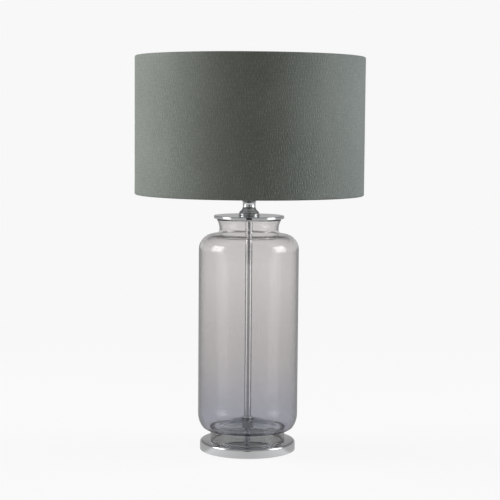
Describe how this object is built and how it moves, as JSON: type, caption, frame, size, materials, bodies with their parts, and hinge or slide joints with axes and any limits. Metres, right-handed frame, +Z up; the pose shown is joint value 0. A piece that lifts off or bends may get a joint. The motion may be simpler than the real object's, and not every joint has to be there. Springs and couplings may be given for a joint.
{
  "type": "table lamp",
  "caption": "Table lamp with a linen drum shade on a tall smoked glass jar, a chrome centre tube and cap, and a round weighted chrome base.",
  "frame": {"origin": "on the table, at the foot of the lamp's vertical axis", "axes": "+Z up along the lamp's axis, the front towards -Y, the cord inlet towards +Y"},
  "size_m": [0.3999, 0.4, 0.69],
  "materials": {
    "black_felt": "felt",
    "chrome": "polished chrome",
    "cast_iron": "as cast",
    "zinc_steel": "zinc plated",
    "black_rubber": "matt",
    "clear_rubber": "translucent",
    "smoked_glass": "smoked, darker towards the foot",
    "holder_plastic": "moulded",
    "insulator": "glazed",
    "brass": "plain",
    "nickel_shell": "rolled",
    "solder": "soldered",
    "black_glass": "glossy",
    "white_plastic": "moulded",
    "opal": "opal",
    "linen": "slubby linen weave",
    "white_lining": "satin",
    "white_wire": "powder coated"
  },
  "bodies": {
    "lamp": {"base_felt": "black_felt", "base_shell": "chrome", "base_weight": "cast_iron", "rod_washer": "zinc_steel", "rod_nut": "zinc_steel", "cord_grommet": "black_rubber", "foot_gasket": "clear_rubber", "glass_jar": "smoked_glass", "nut_washer": "black_rubber", "punt_nut": "zinc_steel", "punt_washer": "black_rubber", "tube_collar": "chrome", "centre_tube": "chrome", "threaded_rod": "zinc_steel", "cap_gasket": "clear_rubber", "jar_cap": "chrome", "neck_spool": "chrome", "holder_cup": "holder_plastic", "grub_screw": "zinc_steel", "holder_insert": "insulator", "terminal_screws": "brass", "centre_contact": "brass", "screw_shell": "nickel_shell", "holder_skirt": "holder_plastic"},
    "shade": {"shade_fabric": "linen", "shade_lining": "white_lining", "shade_top_ring": "white_wire", "shade_spider": "white_wire"},
    "shade_ring": {"shade_ring": "holder_plastic"},
    "bulb": {"bulb_pip": "solder", "bulb_insulator": "black_glass", "bulb_cap": "nickel_shell", "bulb_body": "white_plastic", "bulb_globe": "opal"}
  },
  "joints": [
    {"name": "shade_turn", "type": "hinge", "parent": "lamp", "child": "shade", "pos_m": [0, 0, 0.4787], "axis": [0, 0, 1], "continuous": true},
    {"name": "shade_ring_unscrew", "type": "hinge", "parent": "lamp", "child": "shade_ring", "pos_m": [0, 0, 0.4814], "axis": [0, 0, 1], "range_deg": [0, 2880]},
    {"name": "bulb_unscrew", "type": "hinge", "parent": "lamp", "child": "bulb", "pos_m": [0, 0, 0.487], "axis": [0, 0, 1], "range_deg": [0, 1440]}
  ]
}
